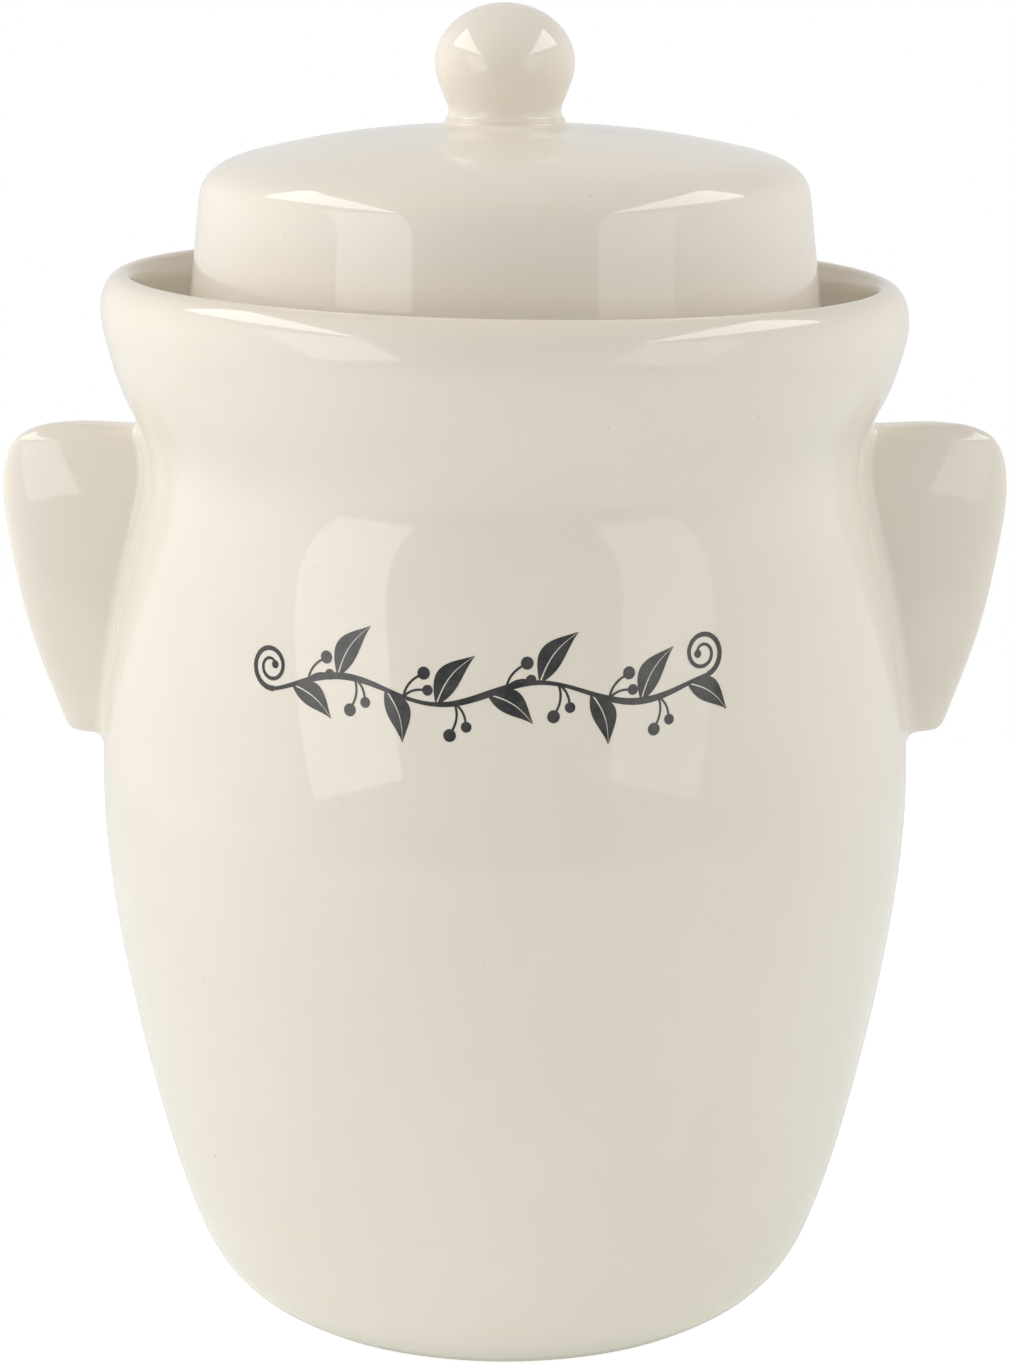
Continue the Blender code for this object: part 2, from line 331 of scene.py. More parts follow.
jar = turned("jar_glazed", jar_outline(), bare_below=0.5 * MM)
tip_rim(jar)
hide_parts("crock_body")
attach(jar, "crock")
print("jar:", len(jar.data.polygons), "faces")

# %% [markdown]
# ## The neck ring
# The channel's floor and inner wall are one ring, luted into the throat before firing. The lid's skirt
# stands round it in the water. Its lip is a half round, and a small hollow joins the wall to the floor.

# %% Turn the neck ring
MOUTH_RADIUS = 60 * MM
NECK_RADIUS = 67 * MM


def neck_outline():
    lip_radius = (NECK_RADIUS - MOUTH_RADIUS) / 2
    middle = (NECK_RADIUS + MOUTH_RADIUS) / 2
    lip = []
    for step in range(17):
        angle = math.pi * step / 16
        lip.append((middle + lip_radius * math.cos(angle), neck_top + lip_radius * (math.sin(angle) - 1)))
    floor_edge = (NECK_RADIUS, CHANNEL_FLOOR)
    return [
        (MOUTH_RADIUS + 2 * MM, channel_underside),
        (83.2 * MM, channel_underside),
        (83.2 * MM, CHANNEL_FLOOR),
        *rounded(floor_edge, (83 * MM, CHANNEL_FLOOR), (NECK_RADIUS, neck_top), 3.5 * MM),
        *lip,
        *rounded(
            (MOUTH_RADIUS, channel_underside),
            (MOUTH_RADIUS, neck_top),
            (83 * MM, channel_underside),
            2 * MM,
        ),
    ]


neck = turned("neck_ring_glazed", neck_outline())
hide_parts("neck_ring")
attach(neck, "crock")
print("neck ring:", len(neck.data.polygons), "faces")

# %% [markdown]
# ## The lugs
# Each lug is a thick fin of clay pressed to the shoulder, with a rounded nose. The potter smears clay from
# the lug onto the wall, so the two meet in a hollow fillet of a few millimetres. A Boolean and a Bevel
# could make it, but the bevel breaks up along such a shallow, curved joint. Instead, the lug and the wall
# are written as distances, the two distances are joined with a smooth minimum, and rays from inside the
# wall look for where the joined distance is zero. What comes out is one even grid over the nose, the fillet
# and a hand's breadth of wall.

# %% Write the lug and the wall as distances
COLLAR_TOP = [(RIM_RADIUS, 259 * MM), (RIM_RADIUS + 0.1 * MM, 268 * MM)]
wall_line = np.array(spline(jar_wall() + COLLAR_TOP, 0.5 * MM))
LUG_TOP = high("handle_right").z
LUG_BOTTOM = low("handle_right").z
LUG_ROOT = 90 * MM
LUG_HALF_WIDTH = 9.4 * MM
LUG_TAPER = 2.6 * MM
LUG_BLUNTNESS = 2.2
FILLET = 3.6 * MM
nose_line = np.array(
    spline(
        [
            (111.6 * MM, LUG_BOTTOM - 5 * MM),
            (113.9 * MM, 152.2 * MM),
            (118.6 * MM, 165 * MM),
            (122.7 * MM, 177.6 * MM),
            (125.6 * MM, 190.2 * MM),
            (127.8 * MM, 203 * MM),
            (128.8 * MM, 212 * MM),
            (128.5 * MM, 218.5 * MM),
            (127.2 * MM, 223.6 * MM),
            (124.4 * MM, 227.6 * MM),
            (119.6 * MM, 230.6 * MM),
            (112.6 * MM, 232.6 * MM),
            (104.0 * MM, 234.0 * MM),
        ],
        0.5 * MM,
    )
)


def wall_distance(x, y, z):
    """How far points are outside the jar's wall."""
    radius = np.interp(z, wall_line[:, 1], wall_line[:, 0])
    slope = np.gradient(wall_line[:, 0], wall_line[:, 1])
    lean = np.interp(z, wall_line[:, 1], slope)
    return (np.hypot(x, y) - radius) / np.sqrt(1 + lean * lean)


def smooth_max(a, b, width):
    """The larger of two distances, with the corner between them rounded over this width."""
    overlap = np.maximum(width - np.abs(a - b), 0)
    return np.maximum(a, b) + overlap * overlap / (4 * width)


def lug_distance(x, y, z):
    """How far points are outside the lug: a blunt oval at each height, thinner low down and near the top."""
    reach = np.interp(z, nose_line[:, 1], nose_line[:, 0]) - LUG_ROOT
    below = np.clip((206 * MM - z) / (57 * MM), 0, 1)
    above = np.clip((z - 211 * MM) / (20 * MM), 0, 1)
    half_width = LUG_HALF_WIDTH - LUG_TAPER * below - LUG_TAPER * above**2
    along = np.abs(x - LUG_ROOT) / reach + 1e-6
    across = np.abs(y) / half_width + 1e-6
    oval = (along**LUG_BLUNTNESS + across**LUG_BLUNTNESS) ** (1 / LUG_BLUNTNESS)
    power = LUG_BLUNTNESS - 1
    steepness = np.hypot((along / oval) ** power / reach, (across / oval) ** power / half_width)
    side = (oval - 1) / steepness
    top = z - LUG_TOP + 0.05 * np.abs(x - 109 * MM)
    bottom = LUG_BOTTOM - z
    return smooth_max(smooth_max(side, top, 4 * MM), bottom, 3 * MM)


def joined_distance(x, y, z):
    """The smooth minimum of the two distances, which is the fillet."""
    return -smooth_max(-lug_distance(x, y, z), -wall_distance(x, y, z), FILLET)


print("nose reaches", round(float(nose_line[:, 0].max()) / MM, 1), "mm from the axis")

# %% [markdown]
# The rays start at one point inside the wall and fan out sideways and up and down. Each one walks outwards
# by most of the distance that is left, over and over, until hardly any is left. The sheet that they find
# lies two hundredths of a millimetre proud of the wall at its edges, too little to see. Its border then
# folds back into the wall, so that the piece is closed. The distances also give each point's exact normal,
# which hides the grid in the reflections.

# %% Walk the rays and build both lugs
RAY_START = np.array((70 * MM, 0, 203 * MM))
SIDE_FAN = math.radians(52)
FAN_DOWN, FAN_UP = math.radians(-62), math.radians(53)
RAY_STEPS = 90
RAY_CAUTION = 0.7
PROUD = 0.02 * MM
SHEET_DEPTH = 3 * MM
side_angles = np.linspace(-SIDE_FAN, SIDE_FAN, 131)
rise_angles = np.linspace(FAN_DOWN, FAN_UP, 171)


def lug_sheet():
    """The grid of points on the joined surface, as (rows, columns, 3)."""
    side, rise = np.meshgrid(np.tan(side_angles), np.tan(rise_angles))
    direction = np.stack([np.ones_like(side), side, rise], -1)
    direction /= np.linalg.norm(direction, axis=-1, keepdims=True)
    walked = np.full(side.shape, 10 * MM)
    for _ in range(RAY_STEPS):
        points = RAY_START + direction * walked[..., None]
        walked -= RAY_CAUTION * (joined_distance(*np.moveaxis(points, -1, 0)) - PROUD)
    return RAY_START + direction * walked[..., None]


def sheet_normals(sheet):
    """The direction in which the joined distance grows, at each point of the sheet."""
    step = 0.02 * MM
    slopes = []
    for axis in range(3):
        shift = np.zeros(3)
        shift[axis] = step
        after = joined_distance(*np.moveaxis(sheet + shift, -1, 0))
        before = joined_distance(*np.moveaxis(sheet - shift, -1, 0))
        slopes.append((after - before) / (2 * step))
    normals = np.stack(slopes, -1)
    return normals / np.linalg.norm(normals, axis=-1, keepdims=True)


def closed_sheet(sheet, depth):
    """The sheet's points and faces, with a back that lies this far inside the wall."""
    rows, columns = sheet.shape[:2]
    inward = sheet[..., :2] / np.linalg.norm(sheet[..., :2], axis=-1, keepdims=True)
    back_radius = np.interp(sheet[..., 2], wall_line[:, 1], wall_line[:, 0]) - depth
    back = np.concatenate([inward * back_radius[..., None], sheet[..., 2:]], -1)
    verts = [*sheet.reshape(-1, 3), *back.reshape(-1, 3)]
    index = np.arange(rows * columns).reshape(rows, columns)
    behind = index + rows * columns
    faces = []
    for r in range(rows - 1):
        for c in range(columns - 1):
            faces.append([index[r, c], index[r, c + 1], index[r + 1, c + 1], index[r + 1, c]])
            faces.append([behind[r, c], behind[r + 1, c], behind[r + 1, c + 1], behind[r, c + 1]])
    loop = [*index[0, :], *index[1:, -1], *index[-1, -2::-1], *index[-2:0:-1, 0]]
    for here, there in zip(loop, loop[1:] + loop[:1]):
        faces.append([here, here + rows * columns, there + rows * columns, there])
    return verts, [[int(i) for i in face] for face in faces]


def make_lug(name, node, side, sheet, normals):
    """Side is 1 for the right lug. The left one is the same lug after half a turn."""
    turn = np.array((side, side, 1))
    verts, faces = closed_sheet(sheet * turn, SHEET_DEPTH)
    lug = new_piece(name, verts, faces)
    front = (normals * turn).reshape(-1, 3)
    back = -front
    lug.data.normals_split_custom_set_from_vertices([*map(tuple, front), *map(tuple, back)])
    tip_rim(lug)
    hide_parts(node)
    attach(lug, "crock")
    return lug


sheet = lug_sheet()
normals = sheet_normals(sheet)
lugs = [
    make_lug("lug_right_glazed", "handle_right", 1, sheet, normals),
    make_lug("lug_left_glazed", "handle_left", -1, sheet, normals),
]
reach = float(sheet[..., 0].max())
print("each lug:", len(lugs[0].data.polygons), "faces, reach", round(reach / MM, 2), "mm")

# %% [markdown]
# ## The lid
# The lid is a low dome on a skirt that leans in a little towards the top. Four small arches in the skirt's
# foot let the gas bubble out through the water. To keep the arches round, the spin uses more steps where
# they are, and the foot's points are lifted to the arch.

# %% Turn the lid and lift its arches
VENT_WIDTH = 8 * MM
VENT_HEIGHT = 3.5 * MM
VENT_ANGLES = [math.radians(45 + 90 * i) for i in range(4)]


def lid_outline():
    outside = [
        (9 * MM, crown_height + 0.05 * MM),
        (20 * MM, crown_height - 0.25 * MM),
        (44 * MM, 303.7 * MM),
        (62 * MM, 300.2 * MM),
        (71.9 * MM, 296.7 * MM),
        (76.1 * MM, 292.5 * MM),
        (77.4 * MM, 286.6 * MM),
        (79.2 * MM, 269.7 * MM),
        (81.0 * MM, 251.5 * MM),
        (skirt_radius - 0.3 * MM, skirt_foot + 4 * MM),
    ]
    inside = [
        (76.2 * MM, skirt_foot + 4 * MM),
        (73.0 * MM, 269.7 * MM),
        (70.6 * MM, 285 * MM),
        (64.0 * MM, 291.6 * MM),
        (44.0 * MM, 296.4 * MM),
        (9 * MM, 299.2 * MM),
    ]
    outer_corner, inner_corner = (skirt_radius, skirt_foot), (76.2 * MM, skirt_foot)
    down = [
        (0, crown_height + 0.1 * MM),
        *spline(outside),
        (skirt_radius, skirt_foot + 3 * MM),
        *rounded(outer_corner, (skirt_radius, 250 * MM), inner_corner, 1.6 * MM),
        *rounded(inner_corner, outer_corner, (76.2 * MM, 250 * MM), 1.6 * MM),
        (76.2 * MM, skirt_foot + 3 * MM),
        *spline(inside, 3 * MM),
        (0, 299.3 * MM),
    ]
    return down[::-1]


def vent_angles():
    """Even steps round the lid, with finer ones across each arch."""
    half = VENT_WIDTH / 2 / skirt_radius
    even = np.linspace(0, math.tau, ROUND_STEPS, endpoint=False)
    offsets = [half * 1.3 * math.sin(math.pi / 2 * k / 12) for k in range(-12, 13)]
    fine = [centre + offset for centre in VENT_ANGLES for offset in offsets]
    keep = [a for a in even if all(abs(a - centre) > half * 1.35 for centre in VENT_ANGLES)]
    return sorted([*keep, *fine])


def lift_vents(piece):
    for vert in piece.data.vertices:
        if vert.co.z > skirt_foot + VENT_HEIGHT + 1 * MM:
            continue
        angle = math.atan2(vert.co.y, vert.co.x) % math.tau
        aside = min(abs(angle - centre) for centre in VENT_ANGLES) * vert.co.xy.length
        arch = 1 - (aside / (VENT_WIDTH / 2)) ** 2
        if arch > 0:
            roof = skirt_foot + VENT_HEIGHT * math.sqrt(arch)
            vert.co.z = max(vert.co.z, roof + (vert.co.z - skirt_foot) * 0.15)


lid = turned("lid_glazed", lid_outline(), vent_angles(), bare_below=skirt_foot + 0.3 * MM)
lift_vents(lid)
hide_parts("lid_dome")
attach(lid, "lid")
print("lid:", len(lid.data.polygons), "faces")

# %% [markdown]
# ## The knob
# The knob was turned apart and stuck on with slip. Just above the crown a narrow bead of slip runs round
# its foot, and under the bead the glaze has filled the joint to a small hollow.

# %% Turn the knob
KNOB_RISE = 15.0 * MM


def knob_outline():
    """The ball's points run past the pole, so that the spline is round there, and are cut off after it."""
    middle = knob_top - KNOB_RISE
    ball = []
    for degrees in range(0, 136, 15):
        angle = math.radians(degrees)
        ball.append((knob_radius * math.cos(angle), middle + KNOB_RISE * math.sin(angle)))
    foot = [
        (17.6 * MM, knob_seat - 0.55 * MM),
        (16.4 * MM, knob_seat - 0.15 * MM),
        (15.5 * MM, knob_seat + 0.45 * MM),
        (15.15 * MM, knob_seat + 1.0 * MM),
        (15.1 * MM, knob_seat + 1.45 * MM),
        (14.6 * MM, knob_seat + 1.95 * MM),
        (14.25 * MM, knob_seat + 2.7 * MM),
        (14.2 * MM, knob_seat + 3.7 * MM),
        (14.8 * MM, knob_seat + 5.8 * MM),
        (16.1 * MM, knob_seat + 9.1 * MM),
        (17.1 * MM, knob_seat + 12.0 * MM),
    ]
    base = [(0, knob_seat - 0.7 * MM), (17.4 * MM, knob_seat - 0.7 * MM)]
    side = [point for point in spline(foot + ball, 0.4 * MM) if point[0] > 0.3 * MM]
    return [*base, *side, (0, knob_top)]


knob = turned("knob_glazed", knob_outline(), np.linspace(0, math.tau, 128, endpoint=False))
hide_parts("lid_knob")
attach(knob, "lid")
print("knob:", len(knob.data.polygons), "faces")

# %% [markdown]
# ## The stones
# The two stones are pressed from the same clay and left bare. Each is half a disc, with half of a finger
# hole in its straight edge. An extruded outline with a Bevel modifier gives soft edges all round, the
# hole's too.

# %% Press the stones
HOLE_RADIUS = 10.5 * MM
SPLIT = 0.75 * MM


def half_disc():
    """The outline of the half at +Y, from its right corner round to its left one and back along the hole."""
    start = math.asin(SPLIT / stone_radius)
    hole_start = math.asin(SPLIT / HOLE_RADIUS)
    outer = np.linspace(start, math.pi - start, 73)
    hole = np.linspace(math.pi - hole_start, hole_start, 25)
    return [(stone_radius * math.cos(a), stone_radius * math.sin(a)) for a in outer] + [
        (HOLE_RADIUS * math.cos(a), HOLE_RADIUS * math.sin(a)) for a in hole
    ]


def make_stone(name, node, side):
    plan = half_disc()
    verts = [(x * side, y * side, z) for z in (stone_bottom, stone_top) for x, y in plan]
    count = len(plan)
    faces = [list(range(count)), list(range(count, 2 * count))]
    faces += [[i, (i + 1) % count, (i + 1) % count + count, i + count] for i in range(count)]
    stone = new_piece(name, verts, faces)
    bevel = stone.modifiers.new("soft_edges", "BEVEL")
    bevel.width = 2.4 * MM
    bevel.segments = 5
    bevel.angle_limit = math.radians(50)
    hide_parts(node)
    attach(stone, node)
    return stone


stones = [make_stone("stone_back", "weight_back", 1), make_stone("stone_front", "weight_front", -1)]
print("stones:", [s.name for s in stones])

# %% [markdown]
# ## The sprig on the front
# The front carries one piece of brushwork under the glaze: a fruiting sprig, a little over 110 mm wide. It
# could be an image on the jar's surface, but an image needs a file. A mesh of thin ribbons, laid on the
# wall and six hundredths of a millimetre proud, keeps its sharp edge from any distance. Each stroke is a
# ribbon between two edges that are drawn flat, as a distance round the wall and a height, and then wrapped
# on to it.

# %% Wrap ribbons on to the wall
SPRIG_CENTRE = -4 * MM
SPRIG_HEIGHT = 181.5 * MM
STEM_WIDTH = 108 * MM
INK_PROUD = 0.06 * MM
INK_SUNK = 0.05 * MM
sprig_verts, sprig_faces = [], []


def wrap(along, height, proud):
    """A point on the wall: how far round to the right, how high, and how far it stands proud."""
    radius = float(np.interp(height, wall_line[:, 1], wall_line[:, 0])) + proud
    angle = -math.pi / 2 + along / radius
    return (radius * math.cos(angle), radius * math.sin(angle), height)


def ribbon(left, right):
    """A closed thin solid between two edges, each a list of (along, height) points."""
    first = len(sprig_verts)
    for a, b in zip(left, right):
        sprig_verts.extend(
            [wrap(*a, INK_PROUD), wrap(*b, INK_PROUD), wrap(*b, -INK_SUNK), wrap(*a, -INK_SUNK)]
        )
    last = first + 4 * (len(left) - 1)
    for base in range(first, last, 4):
        for side in range(4):
            after = (side + 1) % 4
            sprig_faces.append([base + side, base + after, base + 4 + after, base + 4 + side])
    sprig_faces.append([first, first + 3, first + 2, first + 1])
    sprig_faces.append([last, last + 1, last + 2, last + 3])


def stroke(centre_line, widths):
    """A brush stroke along a line, with its width at each point."""
    line = np.array(centre_line)
    heading = np.gradient(line, axis=0)
    heading /= np.linalg.norm(heading, axis=1, keepdims=True)
    across = np.stack([-heading[:, 1], heading[:, 0]], 1) * np.array(widths)[:, None] / 2
    ribbon([tuple(p) for p in line + across], [tuple(p) for p in line - across])


print("the sprig's middle is", round(SPRIG_HEIGHT / MM, 1), "mm up the front")

# %% [markdown]
# The stem is a slow wave that ends in a scroll on each side. Leaves grow from it in turn above and below,
# each one two half leaves with a bare vein between them, and berries hang on thin stalks in the gaps.
# Swelling and thinning the strokes is what makes them look brushed.

# %% Draw the stem, its scrolls, the leaves and the berries
STEM_SWING = 2.6 * MM
STEM_WAVES = 7.2
STEM_POINTS = 121


def stem_point(t):
    """The stem at t from -1 to 1."""
    return (SPRIG_CENTRE + t * STEM_WIDTH / 2, SPRIG_HEIGHT + STEM_SWING * math.sin(t * STEM_WAVES))


def blob(centre, radius):
    """A round drop of ink."""
    angles = np.linspace(0.06, math.pi - 0.06, 15)
    left = [(centre[0] - radius * math.cos(a), centre[1] + radius * math.sin(a)) for a in angles]
    right = [(centre[0] - radius * math.cos(a), centre[1] - radius * math.sin(a)) for a in angles]
    ribbon(left, right)


def scroll(side):
    """The stem's end curls in on itself. Side is 1 for the right end."""
    root = np.array(stem_point(side))
    before = np.array(stem_point(side * 0.98))
    heading = math.atan2(*(root - before)[::-1])
    line, place = [tuple(root)], root
    steps, turn = 46, 0.24
    for step in range(steps):
        bend_radius = (5.2 - 4.0 * step / steps) * MM
        heading += turn * side
        place = place + np.array((math.cos(heading), math.sin(heading))) * bend_radius * turn
        line.append(tuple(place))
    widths = [(1.3 - 0.75 * i / len(line)) * MM for i in range(len(line))]
    stroke(line, widths)
    blob(place, 0.95 * MM)


def leaf(root, heading, length, width):
    """Two half leaves, a little unequal, on either side of a bare vein that bends."""
    steps = np.linspace(0, 1, 19)
    forward = np.array((math.cos(heading), math.sin(heading)))
    aside = np.array((-math.sin(heading), math.cos(heading)))
    bend = 0.10 * length * np.sin(steps * math.pi)
    vein = [np.array(root) + forward * length * t + aside * b for t, b in zip(steps, bend)]
    belly = np.sin(math.pi * steps**0.8) ** 1.25
    for side, share in ((1, 0.54), (-1, 0.46)):
        gap = [0.20 * MM * (1 - 0.7 * t) * side for t in steps]
        outer = [g + side * (0.05 * MM + width * share * h) for g, h in zip(gap, belly)]
        near = [tuple(p + aside * g) for p, g in zip(vein, gap)]
        far = [tuple(p + aside * o) for p, o in zip(vein, outer)]
        if side < 0:
            ribbon(near, far)
        else:
            ribbon(far, near)


def berry(root, heading, stalk, radius):
    """A berry on a thin curved stalk."""
    steps = np.linspace(0, 1, 9)
    line = []
    for t in steps:
        angle = heading - 0.5 * t
        line.append((root[0] + stalk * t * math.cos(angle), root[1] + stalk * t * math.sin(angle)))
    stroke(line, [0.55 * MM] * len(line))
    before, end = np.array(line[-2]), np.array(line[-1])
    onward = (end - before) / np.linalg.norm(end - before)
    blob(end + onward * radius * 0.9, radius)


def draw_sprig():
    """Leaves and berries grow in turn below and above the stem."""
    stem = [stem_point(t) for t in np.linspace(-1, 1, STEM_POINTS)]
    swell = np.linspace(0, 6 * math.pi, STEM_POINTS)
    stroke(stem, [(1.25 - 0.35 * math.cos(phase)) * MM for phase in swell])
    for side in (-1, 1):
        scroll(side)
    places = np.linspace(-0.9, 0.9, 9)
    for index, t in enumerate(places):
        upward = 1 if index % 2 else -1
        slope = STEM_SWING * STEM_WAVES * math.cos(t * STEM_WAVES) / (STEM_WIDTH / 2)
        heading = math.atan(slope) + upward * math.radians(52)
        long = 14.5 * MM if upward > 0 else 12.5 * MM
        leaf(stem_point(t), heading, long, 5.4 * MM)
        if index < len(places) - 1:
            root = stem_point(t + 0.08)
            berry(root, math.radians(-66 if upward > 0 else 82), 6.2 * MM, 1.5 * MM)
            berry(root, math.radians(-30 if upward > 0 else 50), 5.0 * MM, 1.25 * MM)


draw_sprig()
sprig = new_piece("sprig_brushwork", sprig_verts, sprig_faces)
sprig.data.set_sharp_from_angle(angle=math.radians(40))
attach(sprig, "crock")
print("sprig:", len(sprig_faces), "faces,", round(sprig.dimensions.x / MM), "mm wide")

# %% [markdown]
# ## Effects that the materials share
# Clay and glaze vary in the same few ways, so each way is a shader node group, built once and placed in
# every material that shows it. A small helper makes a group, its sockets, and the nodes inside it. All the
# patterns read object coordinates. Every piece's origin is the frame's origin, so a pattern has its real
# size and moves with its piece.

# %% Make node groups from a short recipe
def new_group(name, inputs, outputs):
    """A shader node group with (name, kind, default) inputs and (name, kind) outputs."""
    group = bpy.data.node_groups.new(name, "ShaderNodeTree")
    for label, kind, default in inputs:
        socket = group.interface.new_socket(name=label, in_out="INPUT", socket_type=kind)
        socket.default_value = default
    for label, kind in outputs:
        group.interface.new_socket(name=label, in_out="OUTPUT", socket_type=kind)
    return group, group.nodes.new("NodeGroupInput"), group.nodes.new("NodeGroupOutput")


def add_node(tree, kind, settings=None, **sockets):
    """A node of a kind, with its settings, and its input sockets joined or set.

    A socket is given by its name, with _ for a space, or as i and its number, such as i0 for the first.
    """
    node = tree.nodes.new(kind)
    for label, value in (settings or {}).items():
        setattr(node, label, value)
    for label, value in sockets.items():
        socket = node.inputs[int(label[1:])] if label[1:].isdigit() else node.inputs[label.replace("_", " ")]
        if isinstance(value, bpy.types.NodeSocket):
            tree.links.new(value, socket)
        else:
            socket.default_value = value
    return node


def maths(tree, operation, a, b=0.0):
    """The result of a Math node."""
    return add_node(tree, "ShaderNodeMath", {"operation": operation}, i0=a, i1=b).outputs[0]


def blend(tree, share, a, b):
    """A colour between a and b. In a Mix node the colours are inputs 6 and 7 and output 2."""
    return add_node(tree, "ShaderNodeMix", {"data_type": "RGBA"}, i0=share, i6=a, i7=b).outputs[2]


def spread(tree, value, low_end, high_end):
    """Stretches a value so that it runs from 0 at one end to 1 at the other, smoothly."""
    settings = {"interpolation_type": "SMOOTHSTEP"}
    return add_node(
        tree, "ShaderNodeMapRange", settings, Value=value, From_Min=low_end, From_Max=high_end
    ).outputs["Result"]


def noise(tree, place, scale, detail):
    """Soft noise, with this many blobs to the metre or so, and finer ones added by the detail."""
    node = add_node(tree, "ShaderNodeTexNoise", None, Vector=place, Scale=scale, Detail=detail)
    return node.outputs["Fac"]


def place_group(tree, group, **sockets):
    """A shared group, placed in a material with this material's own values."""
    return add_node(tree, "ShaderNodeGroup", {"node_tree": group}, **sockets).outputs


def new_material(name, roughness):
    """A material with its Principled shader's constant values set on the shader itself."""
    material = bpy.data.materials.new(name)
    material.use_nodes = True
    shader = material.node_tree.nodes["Principled BSDF"]
    shader.inputs["Roughness"].default_value = roughness
    shader.inputs["IOR"].default_value = 1.5
    return material, material.node_tree, shader


print("materials so far:", len(bpy.data.materials))

# %% [markdown]
# **Cloud** is slow, soft change of tone, as when glaze runs a little thicker here and thinner there.
# **Ripple** is the skin of the glaze. It levels as it melts, but never quite, and the last few hundredths
# of a millimetre are what bends the edges of a reflection. **Speck** is iron in the clay, which burns dark
# where a grain lies near the surface, at random places and sizes. **Grain** is bare fired clay: a fine
# sandy relief, and the paler and darker sands that make it.

# %% Build the four groups
def build_cloud():
    """Slow drift between two tones."""
    group, given, out = new_group(
        "cloud",
        [
            ("Light", "NodeSocketColor", (0.8, 0.8, 0.8, 1)),
            ("Dark", "NodeSocketColor", (0.6, 0.6, 0.6, 1)),
            ("Scale", "NodeSocketFloat", 14.0),
        ],
        [("Colour", "NodeSocketColor"), ("Mask", "NodeSocketFloat")],
    )
    place = add_node(group, "ShaderNodeTexCoord").outputs["Object"]
    slow = noise(group, place, given.outputs["Scale"], 2.0)
    fine = noise(group, place, maths(group, "MULTIPLY", given.outputs["Scale"], 5.3), 3.0)
    both = maths(group, "ADD", maths(group, "MULTIPLY", slow, 0.72), maths(group, "MULTIPLY", fine, 0.28))
    mask = spread(group, both, 0.36, 0.64)
    group.links.new(blend(group, mask, given.outputs["Light"], given.outputs["Dark"]), out.inputs["Colour"])
    group.links.new(mask, out.inputs["Mask"])
    return group


def build_ripple():
    """The glaze skin's height."""
    group, given, out = new_group(
        "ripple", [("Scale", "NodeSocketFloat", 60.0)], [("Height", "NodeSocketFloat")]
    )
    place = add_node(group, "ShaderNodeTexCoord").outputs["Object"]
    slow = noise(group, place, given.outputs["Scale"], 1.0)
    fine = noise(group, place, maths(group, "MULTIPLY", given.outputs["Scale"], 6.0), 1.0)
    height = maths(group, "ADD", slow, maths(group, "MULTIPLY", fine, 0.06))
    group.links.new(height, out.inputs["Height"])
    return group


def build_speck():
    """A mask of scattered dots. Share is the part of the cells that have one, and size is in cells."""
    group, given, out = new_group(
        "speck",
        [
            ("Scale", "NodeSocketFloat", 200.0),
            ("Share", "NodeSocketFloat", 0.1),
            ("Size", "NodeSocketFloat", 0.1),
        ],
        [("Mask", "NodeSocketFloat")],
    )
    place = add_node(group, "ShaderNodeTexCoord").outputs["Object"]
    cells = add_node(group, "ShaderNodeTexVoronoi", None, Vector=place, Scale=given.outputs["Scale"])
    lot = add_node(group, "ShaderNodeSeparateColor", None, i0=cells.outputs["Color"])
    chosen = maths(group, "LESS_THAN", lot.outputs["Red"], given.outputs["Share"])
    size = maths(group, "MULTIPLY", given.outputs["Size"], maths(group, "ADD", lot.outputs["Green"], 0.35))
    near = maths(group, "SUBTRACT", size, cells.outputs["Distance"])
    dot = spread(group, near, 0.0, 0.03)
    group.links.new(maths(group, "MULTIPLY", dot, chosen), out.inputs["Mask"])
    return group


def build_grain():
    """Bare clay's colour and relief."""
    group, given, out = new_group(
        "grain",
        [
            ("Light", "NodeSocketColor", (0.6, 0.5, 0.4, 1)),
            ("Dark", "NodeSocketColor", (0.4, 0.3, 0.2, 1)),
            ("Scale", "NodeSocketFloat", 900.0),
        ],
        [("Colour", "NodeSocketColor"), ("Height", "NodeSocketFloat")],
    )
    place = add_node(group, "ShaderNodeTexCoord").outputs["Object"]
    sand = noise(group, place, given.outputs["Scale"], 4.0)
    drift = noise(group, place, 22.0, 3.0)
    tone = maths(group, "ADD", maths(group, "MULTIPLY", sand, 0.6), maths(group, "MULTIPLY", drift, 0.4))
    mask = spread(group, tone, 0.38, 0.62)
    group.links.new(blend(group, mask, given.outputs["Light"], given.outputs["Dark"]), out.inputs["Colour"])
    group.links.new(sand, out.inputs["Height"])
    return group


cloud, ripple, speck, grain = build_cloud(), build_ripple(), build_speck(), build_grain()
print("groups:", [g.name for g in bpy.data.node_groups])

# %% [markdown]
# ## Cream glaze
# The glaze is a thin layer of glass, cream because a little tin clouds it. Where it draws back over a sharp
# edge it is thinner, and the clay warms it. Elsewhere its tone drifts slowly between two creams. A few
# specks of iron show, and over each one the skin dips. Where the pot stands on the kiln shelf the glaze was
# wiped off, so the same material shows bare clay there, by the mask that the spin wrote.

# %% Mix the cream glaze
CREAM = (0.806, 0.748, 0.660, 1)
DEEP_CREAM = (0.786, 0.730, 0.634, 1)
WARM_EDGE = (0.760, 0.650, 0.490, 1)
IRON = (0.16, 0.11, 0.07, 1)
CLAY_LIGHT = (0.66, 0.575, 0.45, 1)
CLAY_DARK = (0.52, 0.43, 0.32, 1)
RIPPLE_SCALE = 52.0
RIPPLE_DEPTH = 0.05 * MM


